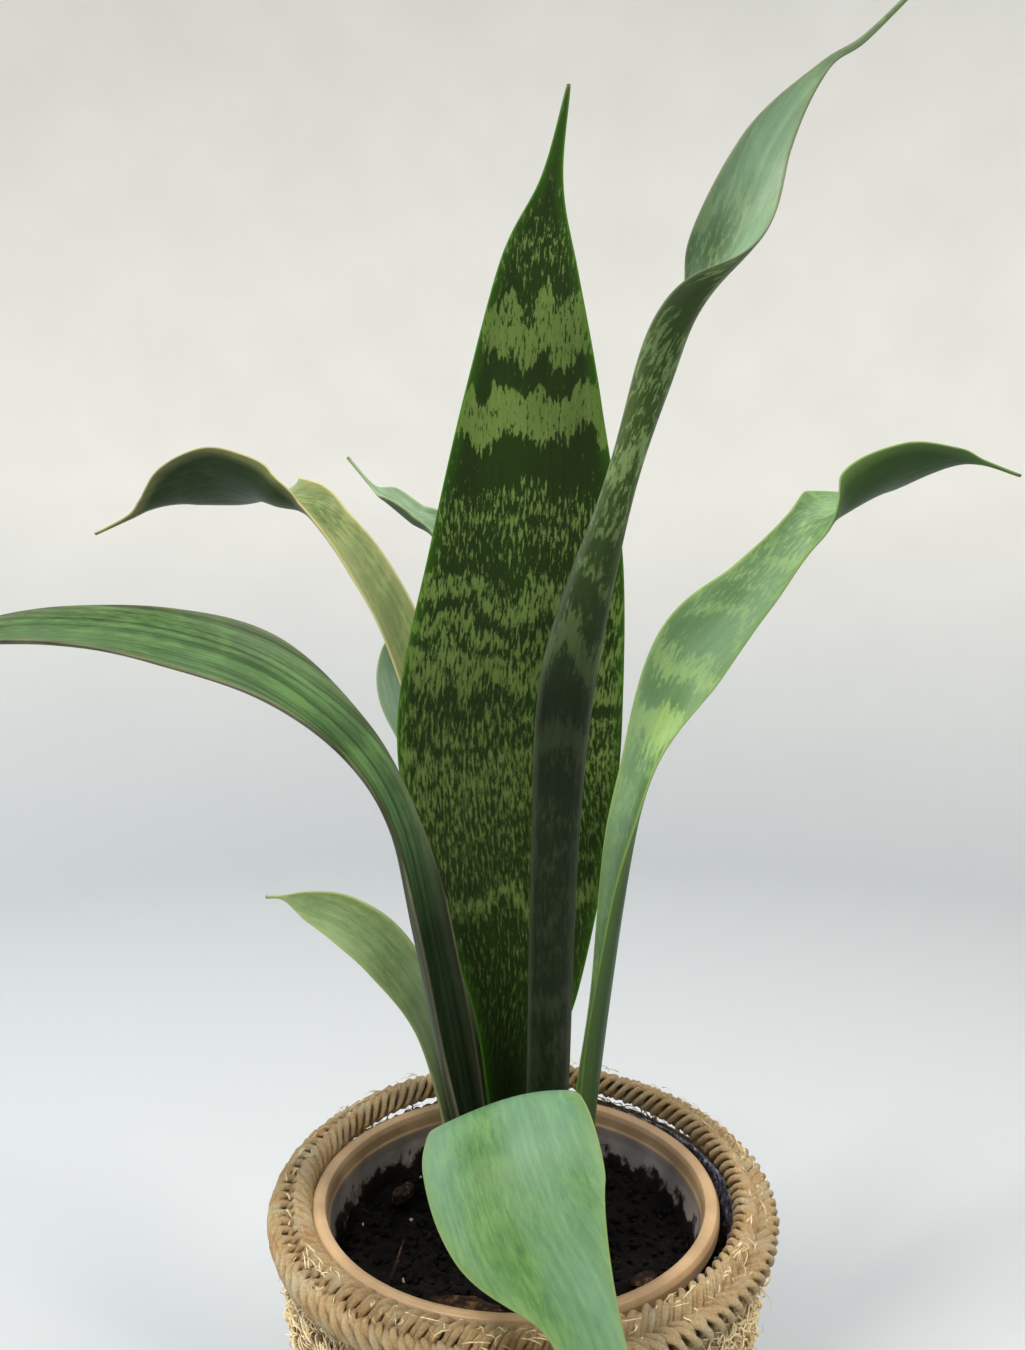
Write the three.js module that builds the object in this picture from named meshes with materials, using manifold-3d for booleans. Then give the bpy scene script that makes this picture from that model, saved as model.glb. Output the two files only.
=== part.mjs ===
// A snake plant in its nursery pot, standing in a stitched jute basket with a plastic film liner.
// Millimetres, +Z up. The origin is the centre of the basket's underside.
import * as THREE from 'three';
import { mergeVertices } from 'three/addons/utils/BufferGeometryUtils.js';
import Module from 'manifold-3d';

const wasm = await Module();
wasm.setup();

const GAP = 0.3; // clearance between touching pieces

// Basket: a plait sewn up in courses on a coiled base
const BASKET_HEIGHT = 118;
const BASE_HEIGHT = 9;
const BASE_RADIUS = 59;
const RIM_RADIUS = 72.2;
const WALL_THICKNESS = 7.6;
const WALL_COURSES = 8;
const COURSE_PITCH = (BASKET_HEIGHT - BASE_HEIGHT) / (WALL_COURSES + 1);
const RING_SEGMENTS = 32;

// Liner: a cup of thin film between the basket and the pot
const LINER_THICKNESS = 0.4;
const LINER_TOP = 111;

// Nursery pot: moulded, 12 cm across the rim, pushed a little to one side of the basket
const POT_RIM_RADIUS = 60;
const POT_HEIGHT = 105;
const POT_BASE_RADIUS = 42.5;
const POT_WALL = 1.4;
const POT_FLOOR = 1.6;
const POT_FOOT = 1.5;
const POT_LIP_HEIGHT = 7;
const POT_LIP_WIDTH = 5;
const POT_SEGMENTS = 40;
const DRAIN_HOLES = 8;
const DRAIN_RADIUS = 4;
const DRAIN_CIRCLE = 26;
const POT_BOTTOM = BASE_HEIGHT + GAP + LINER_THICKNESS + GAP;
const POT_OFFSET = new THREE.Vector2(-2.2, -0.9);

// Potting soil and what lies in it
const SOIL_LEVEL = 94;
const SOIL_HEAP = 3.5;
const SOIL_CRUMBLE = 0.9;
const RHIZOME_LEVEL = 84.6;
const KNUCKLE_RADIUS = 6.6;
const RUNNER_RADIUS = 5;
const ROOT_RADIUS = 1.8;
const ROOT_DEPTH = 60;
const ROOT_COUNT = 6;

// Leaves
const LEAF_THICKNESS = 2.2;
const LEAF_ACROSS = 4;
const LEAF_ALONG = 20;
const SOCKET_GAP = 0.4;

// Stations up each leaf from the rhizome to the tip. A station holds the midrib's x, y and z, half the
// blade's width measured round its curve, the turn and the tilt in degrees of the line from the left
// margin to the right one, and the angle in degrees that the blade is curled through.
const LEAVES = {
  leaf_centre: [
    [0, 4, 92, 7, 0, 0, 140],
    [-3, 7, 135, 9, 0, 0, 140],
    [0, 11, 173, 19, 0, 0, 90],
    [-2, 13, 211, 28.5, 0, 0, 40],
    [-4, 15, 248, 34.5, 0, 0, 22],
    [1, 16, 301, 30, 0, 0, 18],
    [3, 17, 348, 21.5, 0, 0, 20],
    [5, 18, 391, 12, 0, 0, 25],
    [9, 18, 417, 3.5, 0, 0, 30],
    [14, 18, 445, 0.6, 0, 0, 20],
  ],
  leaf_tall_right: [
    [6, -15, 92, 7, 180, 0, 160],
    [7, -18, 150, 8, 180, 0, 160],
    [9, -22, 225, 9, 180, 0, 160],
    [13, -26, 270, 10, 183, 0, 150],
    [26, -28, 319, 5.5, 190, 0, 140],
    [39, -30, 354, 8.7, 230, 5, 130],
    [51.5, -32, 375, 12, 315, 12, 110],
    [61.2, -34, 403, 6.7, 350, 5, 60],
    [74.5, -36, 421, 1.6, 350, 0, 50],
    [84, -38, 427, 0.9, 350, 0, 40],
    [96, -40, 438, 0.6, 350, 0, 30],
  ],
  leaf_right: [
    [17.5, -1, 92, 8, -94, 0, 130],
    [21, -2.5, 141, 9.5, -92, 0, 125],
    [28.5, -3, 201, 9.5, -86, 0, 125],
    [35, 6, 239, 6.2, -25, -15, 110],
    [50.7, 17, 272.3, 13, 12, -32, 50],
    [72.5, 26, 294, 9.3, 0, -42, 50],
    [89.5, 31, 311, 8, -30, -38, 110],
    [103.5, 35, 318.3, 16, -78, 6, 190],
    [124, 39, 330, 14.5, -88, 28, 80],
    [142, 42, 336, 6.5, -90, 24, 60],
    [153, 44, 336, 1.6, -90, 22, 50],
    [167, 46, 332, 0.6, -90, 20, 30],
  ],
  leaf_left_arch: [
    [-9, -10, 92, 7, 60, 0, 150],
    [-18, -12, 140, 8.5, 60, 0, 150],
    [-28, -16, 195, 10, 60, 5, 130],
    [-35, -20, 228, 7, 65, 15, 100],
    [-47, -25, 250, 9.8, 73, 25, 80],
    [-68, -32, 268, 14.5, 85, 28, 70],
    [-92, -39, 277, 13.5, 88, 28, 60],
    [-114, -46, 280, 10.5, 90, 28, 60],
    [-133, -52, 279, 5.5, 90, 28, 60],
    [-147, -57, 276, 0.6, 90, 28, 30],
  ],
  leaf_back_left: [
    [-6, 18, 92, 7, 10, 0, 140],
    [-12, 26, 159, 9, 10, 0, 130],
    [-22, 35, 229, 9.5, 10, 10, 90],
    [-38.5, 42, 277, 7.3, 15, 25, 60],
    [-53, 48, 302.5, 7.6, 30, 28, 70],
    [-66, 51, 317.5, 8.2, 42, 24, 110],
    [-73, 54, 322, 11.5, 56, 20, 150],
    [-84.5, 57, 324, 16, 80, 0, 180],
    [-96, 61, 329, 16, 88, -24, 100],
    [-108, 65, 332, 15.3, 90, -34, 50],
    [-122, 68, 330, 11.5, 90, -30, 40],
    [-134, 71, 325, 4.6, 90, -20, 50],
    [-141, 72, 321, 1.6, 90, -20, 40],
    [-154, 73, 315, 0.6, 90, -20, 30],
  ],
  leaf_back_twist: [
    [10, 24, 92, 7, 0, 0, 140],
    [4, 35, 155, 11, 0, 0, 100],
    [-11, 45, 214, 16, 0, 0, 50],
    [-24, 52, 246, 18.5, 0, 5, 40],
    [-31.5, 58, 268, 18.5, 5, 15, 45],
    [-22, 62, 294, 6.5, 20, 30, 110],
    [-27, 64, 313, 7.5, 40, 40, 150],
    [-38, 66, 319.5, 7.5, 80, 30, 150],
    [-47, 68, 327, 6, 95, 40, 110],
    [-53, 69, 331.5, 1.2, 95, 45, 60],
    [-62, 70, 342, 0.6, 90, 45, 30],
  ],
  leaf_low_left: [
    [-15, 8, 92, 6, 20, 0, 140],
    [-20, 10, 127, 5.5, 20, 10, 120],
    [-27.5, 14, 157, 6.2, 10, 30, 70],
    [-41.5, 18, 178, 8.5, 10, 40, 50],
    [-55, 22, 188, 8, 10, 55, 50],
    [-68, 26, 192, 5, 10, 65, 50],
    [-77, 28, 194, 1, 10, 70, 50],
    [-83, 29, 194, 0.6, 10, 70, 30],
  ],
  leaf_front: [
    [2, -24, 92, 8, 180, 0, 120],
    [0, -34, 128, 13, 180, -5, 60],
    [-6.2, -44, 158.6, 18.3, 180, -18, -20],
    [-5.2, -62, 162, 21, 182, -17, -24],
    [0.9, -78, 151, 18.8, 186, -12, -10],
    [11.3, -90, 137, 8.5, 190, -8, 12],
    [17.5, -100, 120, 6, 192, -4, 50],
    [20, -106, 102, 2, 192, 0, 60],
    [22, -109, 88, 0.6, 192, 0, 40],
  ],
};

// Bark chips on the soil: x, y, length, width and turn in degrees
const CHIP_THICKNESS = 3;
const CHIPS = {
  bark_chip_front: [-16, -30, 19, 6, -12],
  bark_chip_left: [-38, 22, 9, 5, 60],
  bark_chip_right: [34, -20, 8, 4.5, 35],
};
const TWIG_FOOT = new THREE.Vector2(-38, -16);
const TWIG_LEAN = new THREE.Vector3(4, 3, 11);
const TWIG_RADIUS = 0.8;

const jute = new THREE.MeshStandardMaterial({ color: '#c2a878', roughness: 0.95, metalness: 0 });
const film = new THREE.MeshStandardMaterial({ color: '#8f9499', roughness: 0.2, metalness: 0 });
const potPlastic = new THREE.MeshStandardMaterial({ color: '#c9a077', roughness: 0.5, metalness: 0 });
const soil = new THREE.MeshStandardMaterial({ color: '#15110e', roughness: 1, metalness: 0 });
const rootFlesh = new THREE.MeshStandardMaterial({ color: '#c99a5b', roughness: 0.7, metalness: 0 });
const leafGreen = new THREE.MeshStandardMaterial({ color: '#3f5c2c', roughness: 0.4, metalness: 0 });
const bark = new THREE.MeshStandardMaterial({ color: '#5a3d26', roughness: 0.9, metalness: 0 });

// Outer radius of the basket at a height above its underside
function basketRadius(z) {
  return BASE_RADIUS + (RIM_RADIUS - BASE_RADIUS) * Math.pow(z / BASKET_HEIGHT, 1.1);
}

// Revolves a profile of [radius, height] points about Z
function turned(profile, segments) {
  const points = profile.map(([radius, z]) => new THREE.Vector2(radius, z));
  return new THREE.LatheGeometry(points, segments).rotateX(Math.PI / 2);
}

function toManifold(geometry) {
  const bare = geometry.clone();
  bare.deleteAttribute('normal');
  bare.deleteAttribute('uv');
  const merged = mergeVertices(bare);
  const vertProperties = new Float32Array(merged.attributes.position.array);
  const triVerts = new Uint32Array(merged.index.array);
  return new wasm.Manifold(new wasm.Mesh({ numProp: 3, vertProperties, triVerts }));
}

function fromManifold(solid) {
  const { vertProperties, triVerts } = solid.getMesh();
  const geometry = new THREE.BufferGeometry();
  geometry.setAttribute('position', new THREE.BufferAttribute(vertProperties, 3));
  geometry.setIndex(new THREE.BufferAttribute(triVerts, 1));
  return geometry;
}

function addMesh(parent, name, geometry, material) {
  const mesh = new THREE.Mesh(geometry, material);
  mesh.name = name;
  parent.add(mesh);
}

// The coiled base, with a softly rounded edge and a flat underside
function basketBase() {
  const edge = basketRadius(BASE_HEIGHT);
  const top = BASE_HEIGHT - GAP;
  const profile = [
    [0, 0],
    [BASE_RADIUS - 4, 0],
    [edge - 0.8, 3],
    [edge, BASE_HEIGHT / 2],
    [edge - 2, top],
    [0, top],
  ];
  return turned(profile, RING_SEGMENTS);
}

// One course of plait: a ring whose section is a rounded oblong
function basketCourse(index) {
  const bottom = BASE_HEIGHT + index * COURSE_PITCH;
  const height = COURSE_PITCH - GAP;
  const outer = basketRadius(bottom + COURSE_PITCH / 2);
  const inner = outer - WALL_THICKNESS;
  const bulge = 1.6;
  const profile = [
    [inner + bulge, bottom],
    [outer - bulge, bottom],
    [outer, bottom + height / 2],
    [outer - bulge, bottom + height],
    [inner + bulge, bottom + height],
    [inner, bottom + height / 2],
    [inner + bulge, bottom],
  ];
  return turned(profile, RING_SEGMENTS);
}

function liner() {
  const outerAt = (z) => basketRadius(z) - WALL_THICKNESS - 2 * GAP;
  const floor = BASE_HEIGHT;
  const heights = [floor + 8, (floor + LINER_TOP) / 2, LINER_TOP];
  const outside = heights.map((z) => [outerAt(z), z]);
  const inside = heights.map((z) => [outerAt(z) - LINER_THICKNESS, z]).reverse();
  const foot = POT_BASE_RADIUS + 8;
  const profile = [
    [0, floor],
    [foot, floor],
    ...outside,
    ...inside,
    [foot - LINER_THICKNESS, floor + LINER_THICKNESS],
    [0, floor + LINER_THICKNESS],
  ];
  return turned(profile, POT_SEGMENTS);
}

// Outer radius of the pot's wall at a height above the pot's own underside
function potRadius(z) {
  const shoulder = POT_RIM_RADIUS - POT_LIP_WIDTH + POT_WALL;
  return POT_BASE_RADIUS + (shoulder - POT_BASE_RADIUS) * (z / (POT_HEIGHT - POT_LIP_HEIGHT));
}

function nurseryPot() {
  const neck = POT_HEIGHT - POT_LIP_HEIGHT;
  const floorTop = POT_FOOT + POT_FLOOR;
  const lipInner = POT_RIM_RADIUS - POT_LIP_WIDTH;
  const profile = [
    [0, POT_FOOT],
    [POT_BASE_RADIUS - 6, POT_FOOT],
    [POT_BASE_RADIUS - 5, 0],
    [POT_BASE_RADIUS, 0],
    [potRadius(neck), neck],
    [POT_RIM_RADIUS - 1, neck + 0.8],
    [POT_RIM_RADIUS, neck + 2],
    [POT_RIM_RADIUS, POT_HEIGHT - 2],
    [POT_RIM_RADIUS - 1.2, POT_HEIGHT - 0.4],
    [POT_RIM_RADIUS - 2.6, POT_HEIGHT],
    [lipInner + 0.8, POT_HEIGHT - 1],
    [lipInner, POT_HEIGHT - 3],
    [potRadius(neck) - POT_WALL, neck - 1],
    [potRadius(floorTop) - POT_WALL, floorTop],
    [0, floorTop],
  ];
  let pot = toManifold(turned(profile, POT_SEGMENTS));
  for (let hole = 0; hole < DRAIN_HOLES; hole += 1) {
    const angle = (hole / DRAIN_HOLES) * 2 * Math.PI;
    const cutter = new THREE.CylinderGeometry(DRAIN_RADIUS, DRAIN_RADIUS, 4 * POT_FLOOR, 12);
    cutter.rotateX(Math.PI / 2);
    cutter.translate(DRAIN_CIRCLE * Math.cos(angle), DRAIN_CIRCLE * Math.sin(angle), POT_FOOT);
    pot = pot.subtract(toManifold(cutter));
  }
  const geometry = fromManifold(pot);
  return geometry.translate(POT_OFFSET.x, POT_OFFSET.y, POT_BOTTOM);
}

// Height of the soil's crumbly surface at a point of the frame
function soilHeight(x, y) {
  const fromCentre = Math.hypot(x - POT_OFFSET.x, y - POT_OFFSET.y) / POT_RIM_RADIUS;
  const heap = SOIL_HEAP * fromCentre * fromCentre * (0.5 + y / POT_RIM_RADIUS);
  const crumble = Math.sin(x * 0.31 + 1.3) * Math.cos(y * 0.27) + 0.6 * Math.sin(x * 0.13 - y * 0.19);
  return SOIL_LEVEL + heap + SOIL_CRUMBLE * crumble;
}

// The root ball: it fills the pot, and has room in it for the rhizome, the roots and the leaf bases
function pottingSoil() {
  const wallAt = (z) => potRadius(z - POT_BOTTOM) - POT_WALL - GAP;
  const floor = POT_BOTTOM + POT_FOOT + POT_FLOOR + GAP;
  const brim = SOIL_LEVEL;
  const rings = [0.82, 0.64, 0.46, 0.28, 0.12, 0].map((part) => [wallAt(brim) * part, brim]);
  const profile = [[0, floor], [wallAt(floor), floor], [wallAt(brim), brim], ...rings];
  const geometry = turned(profile, POT_SEGMENTS).translate(POT_OFFSET.x, POT_OFFSET.y, 0);
  const place = geometry.attributes.position;
  for (let i = 0; i < place.count; i += 1) {
    if (place.getZ(i) > brim - 1) place.setZ(i, soilHeight(place.getX(i), place.getY(i)));
  }
  let ball = toManifold(geometry).subtract(rhizomeSolid(SOCKET_GAP));
  for (const rows of Object.values(LEAVES)) {
    ball = ball.subtract(toManifold(leafBlade(rows, SOCKET_GAP)));
  }
  return fromManifold(ball);
}

function sphereAt(radius, x, y, z) {
  return toManifold(new THREE.SphereGeometry(radius, 7, 5).rotateX(Math.PI / 2).translate(x, y, z));
}

function tubeAlong(points, radius, sides, steps) {
  const section = new THREE.Shape();
  for (let side = 0; side <= sides; side += 1) {
    const angle = (side / sides) * 2 * Math.PI;
    const move = side === 0 ? 'moveTo' : 'lineTo';
    section[move](radius * Math.cos(angle), radius * Math.sin(angle));
  }
  const extrudePath = new THREE.CatmullRomCurve3(points);
  return new THREE.ExtrudeGeometry(section, { steps, extrudePath });
}

// The rhizome has a knuckle under each leaf, runners that join the knuckles, and thick roots below
function rhizomeSolid(grow) {
  const heart = new THREE.Vector3(0, 2, RHIZOME_LEVEL - 4);
  let solid = sphereAt(KNUCKLE_RADIUS + 2 + grow, heart.x, heart.y, heart.z - 2);
  for (const rows of Object.values(LEAVES)) {
    const [x, y] = rows[0];
    const knuckle = new THREE.Vector3(x, y, RHIZOME_LEVEL);
    const middle = knuckle.clone().lerp(heart, 0.5);
    const runner = tubeAlong([heart, middle, knuckle], RUNNER_RADIUS + grow, 5, 2);
    solid = solid.add(toManifold(runner)).add(sphereAt(KNUCKLE_RADIUS + grow, x, y, RHIZOME_LEVEL));
  }
  for (let root = 0; root < ROOT_COUNT; root += 1) {
    const angle = (root / ROOT_COUNT) * 2 * Math.PI + 0.4;
    const spread = 20 + 3 * Math.sin(root * 2.1);
    const out = (reach, drop) => new THREE.Vector3(
      heart.x + reach * Math.cos(angle + drop / 90),
      heart.y + reach * Math.sin(angle + drop / 90),
      heart.z - drop,
    );
    const path = [out(1, 2), out(spread * 0.7, 14), out(spread, 36), out(spread * 0.8, ROOT_DEPTH)];
    solid = solid.add(toManifold(tubeAlong(path, ROOT_RADIUS + grow, 4, 5)));
  }
  return solid;
}

// The value of each column of a leaf's stations at a part t of its length, on a smooth curve
function stationAt(rows, t) {
  const last = rows.length - 1;
  const index = Math.min(Math.floor(t * last), last - 1);
  const u = t * last - index;
  const [b, c] = [rows[index], rows[index + 1]];
  const a = rows[index - 1] ?? b.map((value, k) => 2 * value - c[k]);
  const d = rows[index + 2] ?? c.map((value, k) => 2 * value - b[k]);
  return b.map((_, k) => 0.5 * (2 * b[k] + (c[k] - a[k]) * u
    + (2 * a[k] - 5 * b[k] + 4 * c[k] - d[k]) * u * u
    + (3 * b[k] - a[k] - 3 * c[k] + d[k]) * u * u * u));
}

// The blade's midrib point, its across and facing directions, its half width and half its curl at t
function bladeFrame(rows, t) {
  const step = 0.001;
  const station = stationAt(rows, t);
  const ahead = stationAt(rows, Math.min(1, t + step));
  const behind = stationAt(rows, Math.max(0, t - step));
  const midrib = new THREE.Vector3(...station);
  const along = new THREE.Vector3(...ahead).sub(new THREE.Vector3(...behind)).normalize();
  const [turn, tilt, curl] = station.slice(4).map(THREE.MathUtils.degToRad);
  const across = new THREE.Vector3(
    Math.cos(tilt) * Math.cos(turn),
    Math.cos(tilt) * Math.sin(turn),
    Math.sin(tilt),
  );
  across.addScaledVector(along, -across.dot(along)).normalize();
  const facing = new THREE.Vector3().crossVectors(across, along);
  return { midrib, along, across, facing, half: Math.max(station[3], 0.5), bend: curl / 2 };
}

// Bends a segmented box into a blade: x runs from margin to margin, y up the leaf, z through it
function leafBlade(rows, grow) {
  const blade = new THREE.BoxGeometry(2, 1, 1, LEAF_ACROSS, LEAF_ALONG, 1);
  const place = blade.attributes.position;
  const point = new THREE.Vector3();
  for (let i = 0; i < place.count; i += 1) {
    point.fromBufferAttribute(place, i);
    const t = point.y + 0.5;
    const frame = bladeFrame(rows, t);
    const thick = LEAF_THICKNESS * (0.4 + 0.6 * Math.min(1, frame.half / 8));
    const depth = point.z * (thick * (1 - 0.55 * point.x * point.x) + 2 * grow);
    const radius = frame.half / frame.bend;
    const angle = point.x * (frame.bend + grow / radius);
    const reach = radius - depth;
    const foot = t === 0 ? -2.5 * grow : 0;
    point.copy(frame.midrib)
      .addScaledVector(frame.across, reach * Math.sin(angle))
      .addScaledVector(frame.facing, radius - reach * Math.cos(angle))
      .addScaledVector(frame.along, foot);
    place.setXYZ(i, point.x, point.y, point.z);
  }
  return blade;
}

// A flake of bark: a box with its corners drawn in, lying just above the soil
function barkChip([x, y, length, width, turn]) {
  const chip = new THREE.BoxGeometry(length, width, CHIP_THICKNESS, 4, 2, 1);
  const place = chip.attributes.position;
  for (let i = 0; i < place.count; i += 1) {
    const end = Math.abs(place.getX(i)) / (length / 2);
    place.setY(i, place.getY(i) * (1 - 0.5 * end * end));
    place.setZ(i, place.getZ(i) * (1 - 0.3 * end) + 0.4 * Math.sin(place.getX(i)));
  }
  const lift = CHIP_THICKNESS / 2 + 2 * SOIL_CRUMBLE;
  return chip.rotateZ(THREE.MathUtils.degToRad(turn)).translate(x, y, soilHeight(x, y) + lift);
}

// A splinter of wood standing askew on the soil
function dryTwig() {
  const lift = SOIL_CRUMBLE + GAP;
  const foot = new THREE.Vector3(TWIG_FOOT.x, TWIG_FOOT.y, soilHeight(TWIG_FOOT.x, TWIG_FOOT.y) + lift);
  return tubeAlong([foot, foot.clone().add(TWIG_LEAN)], TWIG_RADIUS, 6, 1);
}

const plantInBasket = new THREE.Group();

const basket = new THREE.Group();
plantInBasket.add(basket);
addMesh(basket, 'basket_base', basketBase(), jute);
for (let course = 0; course < WALL_COURSES; course += 1) {
  addMesh(basket, `wall_course_${course + 1}`, basketCourse(course), jute);
}
addMesh(basket, 'rim_course', basketCourse(WALL_COURSES), jute);
addMesh(basket, 'film_liner', liner(), film);

const plant = new THREE.Group();
plantInBasket.add(plant);
addMesh(plant, 'nursery_pot', nurseryPot(), potPlastic);
addMesh(plant, 'potting_soil', pottingSoil(), soil);
addMesh(plant, 'rhizome_and_roots', fromManifold(rhizomeSolid(0)), rootFlesh);
for (const [name, rows] of Object.entries(LEAVES)) {
  addMesh(plant, name, leafBlade(rows, 0), leafGreen);
}
for (const [name, shape] of Object.entries(CHIPS)) {
  addMesh(plant, name, barkChip(shape), bark);
}
addMesh(plant, 'dry_twig', dryTwig(), bark);

export default plantInBasket;
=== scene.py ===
"""A snake plant in its nursery pot, standing in a stitched jute basket lined with plastic film."""
import math

import bmesh
import bpy
import numpy as np
from mathutils import Euler, Matrix, Vector, noise


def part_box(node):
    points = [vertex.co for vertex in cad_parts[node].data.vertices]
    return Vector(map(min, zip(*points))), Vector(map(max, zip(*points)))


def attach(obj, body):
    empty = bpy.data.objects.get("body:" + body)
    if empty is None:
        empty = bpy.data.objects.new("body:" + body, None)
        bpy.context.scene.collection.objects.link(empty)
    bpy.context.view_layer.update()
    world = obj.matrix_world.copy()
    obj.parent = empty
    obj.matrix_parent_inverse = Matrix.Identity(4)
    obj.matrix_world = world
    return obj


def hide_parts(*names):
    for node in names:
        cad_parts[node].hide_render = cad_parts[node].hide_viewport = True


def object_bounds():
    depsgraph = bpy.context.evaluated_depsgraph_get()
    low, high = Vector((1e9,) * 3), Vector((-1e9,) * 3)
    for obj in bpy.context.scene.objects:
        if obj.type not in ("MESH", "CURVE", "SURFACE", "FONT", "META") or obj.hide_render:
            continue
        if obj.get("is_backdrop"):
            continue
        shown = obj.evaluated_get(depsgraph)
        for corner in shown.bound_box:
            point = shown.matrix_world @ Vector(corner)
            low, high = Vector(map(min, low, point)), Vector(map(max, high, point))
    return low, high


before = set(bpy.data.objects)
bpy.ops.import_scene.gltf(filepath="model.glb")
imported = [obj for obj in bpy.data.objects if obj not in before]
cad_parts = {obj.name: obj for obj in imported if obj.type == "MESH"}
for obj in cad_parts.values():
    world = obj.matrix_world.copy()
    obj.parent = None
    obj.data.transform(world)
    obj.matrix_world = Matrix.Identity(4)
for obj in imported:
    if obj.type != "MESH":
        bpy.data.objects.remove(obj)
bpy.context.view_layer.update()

scene = bpy.context.scene
scene.view_settings.view_transform = "Standard"

# Camera: level with the lower leaves and a forearm's length away, looking along +Y and slightly down.
camera = bpy.data.objects.new("camera", bpy.data.cameras.new("camera"))
camera.data.sensor_width = 36
camera.data.lens = 27.1
camera.data.clip_start = 0.01
camera.location = (-0.003, -0.297, 0.282)
camera.rotation_euler = (math.radians(87.2), 0, 0)
scene.collection.objects.link(camera)
scene.camera = camera


# Basket base: a five-strand plait of jute yarn, coiled flat and sewn edge to edge. It is the
# start of the one long plait that the whole basket is coiled from.
MM = 0.001
YARN_THICKNESS = 1.9
PLAIT_STRANDS = 5
STRAND_YARNS = (-0.85, 0.85)  # each yarn's place across its strand
PLAIT_PITCH = 20
PLAIT_STEPS = 18  # points along one pitch
BASE_HEIGHT = 4.5
BASE_TURNS = 4
BASE_OUTER = 53.4
BASE_INNER = 6.5
BASE_STEPS = 900  # points along the coil
BASE_SWAY = 4.0  # how far its strands swing across the plait
BASE_SWELL = 2.2  # and how far they pass over and under each other


def srgb(code):
    """A colour given as an sRGB hex code, as linear RGBA."""
    parts = [int(code[i:i + 2], 16) / 255 for i in (1, 3, 5)]
    return (*[c / 12.92 if c <= 0.04045 else ((c + 0.055) / 1.055) ** 2.4 for c in parts], 1)


def add(tree, kind, inputs=None, out=0, stops=None, **settings):
    """Adds a shader node with its settings, its inputs' values or links, and a ramp's stops."""
    node = tree.nodes.new("ShaderNode" + kind)
    for name, value in settings.items():
        setattr(node, name, value)
    for socket, value in (inputs or {}).items():
        if isinstance(value, bpy.types.NodeSocket):
            tree.links.new(value, node.inputs[socket])
        else:
            node.inputs[socket].default_value = value
    if stops:
        ramp = node.color_ramp.elements
        while len(ramp) < len(stops):
            ramp.new(0.5)
        for element, (position, code) in zip(ramp, stops):
            element.position = position
            element.color = srgb(code)
    return node.outputs[out] if node.outputs else None


def new_material(name):
    """An empty node material, and its node tree."""
    material = bpy.data.materials.new(name)
    material.use_nodes = True
    material.node_tree.nodes.clear()
    return material, material.node_tree


def surface(tree, inputs):
    """Ends a material with its main shader."""
    shader = add(tree, "BsdfPrincipled", inputs)
    add(tree, "OutputMaterial", {"Surface": shader})


def strands(name, paths, thickness, closed=False, rings=1):
    """A mesh of round strands along paths of [x, y, z, share of the thickness] in millimetres."""
    curve = bpy.data.curves.new(name, "CURVE")
    curve.dimensions = "3D"
    curve.bevel_depth = thickness / 2 * MM
    curve.bevel_resolution = rings
    curve.use_fill_caps = not closed
    for path in paths:
        spline = curve.splines.new("POLY")
        spline.points.add(len(path) - 1)
        place = np.ones((len(path), 4))
        place[:, :3] = path[:, :3] * MM
        spline.points.foreach_set("co", place.ravel())
        spline.points.foreach_set("radius", path[:, 3])
        spline.use_cyclic_u = closed
    holder = bpy.data.objects.new(name, curve)
    scene.collection.objects.link(holder)
    bpy.context.view_layer.update()
    finished = holder.evaluated_get(bpy.context.evaluated_depsgraph_get())
    mesh = bpy.data.meshes.new_from_object(finished)
    bpy.data.objects.remove(holder)
    mesh.materials.clear()
    if not closed:
        merged = bmesh.new()
        merged.from_mesh(mesh)
        bmesh.ops.remove_doubles(merged, verts=merged.verts, dist=1e-7)
        merged.to_mesh(mesh)
        merged.free()
    mesh.shade_smooth()
    return mesh


def plait(theta, radius, height, lean, phase, sway, swell, seed):
    """Paths of the ten yarns of a plait along a ring or coil. Its face looks outwards, leaning up."""
    rng = np.random.default_rng(seed)
    zero = 0 * theta
    out = np.stack([np.cos(theta), np.sin(theta), zero], 1)
    along = np.stack([-np.sin(theta), np.cos(theta), zero], 1)
    up = np.array([0, 0, 1.0])
    face = math.cos(lean) * out + math.sin(lean) * up
    side = math.cos(lean) * up - math.sin(lean) * out
    centre = radius[:, None] * out + np.reshape(height, (-1, 1)) * up
    paths = []
    for strand in range(PLAIT_STRANDS):
        turn = phase + strand * 2 * math.pi / PLAIT_STRANDS
        slope = sway * np.cos(turn) * 2 * math.pi / PLAIT_PITCH
        across = (side - slope[:, None] * along) / np.sqrt(1 + slope ** 2)[:, None]
        middle = centre + (sway * np.sin(turn))[:, None] * side
        middle = middle + (swell * np.sin(2 * turn))[:, None] * face
        for sideways in STRAND_YARNS:
            line = middle + sideways * across + rng.normal(0, 0.1, middle.shape)
            paths.append(np.c_[line, 1 + rng.normal(0, 0.07, len(line))])
    return paths


def piece(name, mesh, material, slot, body, *nodes):
    """Puts a finished mesh in the scene, on its body, in place of its CAD nodes."""
    made = bpy.data.objects.new(name, mesh)
    scene.collection.objects.link(made)
    mesh.materials.append(material)
    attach(made, body)
    if nodes:
        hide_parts(*nodes)
    return made


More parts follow.
